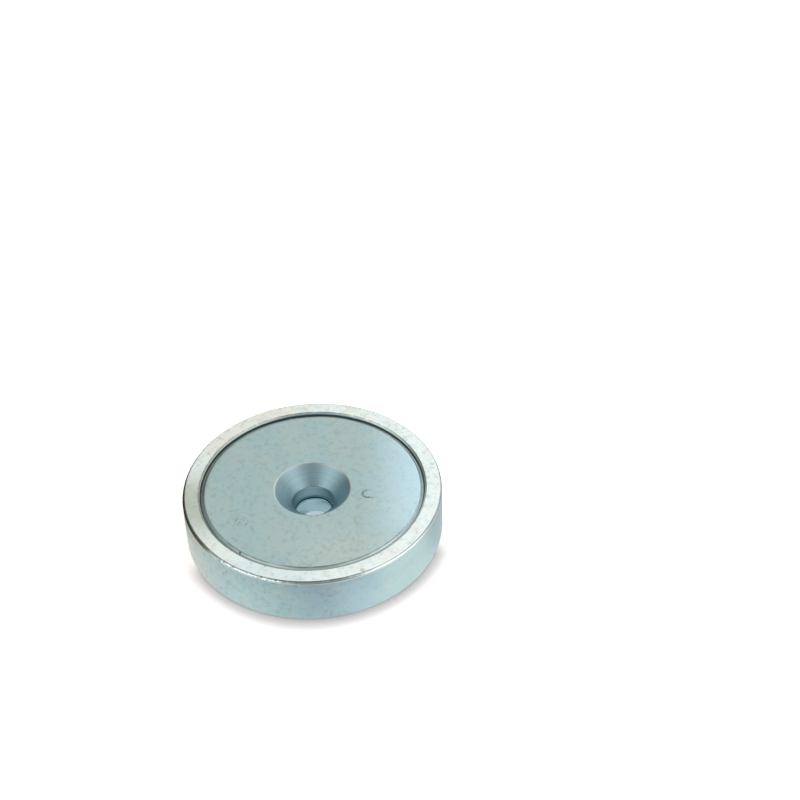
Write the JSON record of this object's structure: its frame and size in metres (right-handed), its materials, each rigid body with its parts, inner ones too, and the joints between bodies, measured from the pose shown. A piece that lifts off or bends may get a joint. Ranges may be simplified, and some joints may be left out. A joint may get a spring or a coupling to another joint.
{
  "type": "pot magnet",
  "caption": "Round pot magnet: a flat steel cup with a ring magnet bonded in it and a countersunk through-hole for fixing by a screw.",
  "frame": {"origin": "centre of the pot's flat underside", "axes": "+Z along the hole's axis, out of the holding face; X and Y are free, because the part is turned"},
  "size_m": [0.075, 0.075, 0.015],
  "materials": {
    "zinc_plated_steel": "turned and bright zinc plated, rim lightly ground",
    "plated_magnet": "satin plating with faint turning marks",
    "cured_adhesive": "dark cured epoxy"
  },
  "bodies": {
    "root": {"steel_pot": "zinc_plated_steel", "ring_magnet": "plated_magnet", "adhesive": "cured_adhesive"}
  },
  "joints": []
}
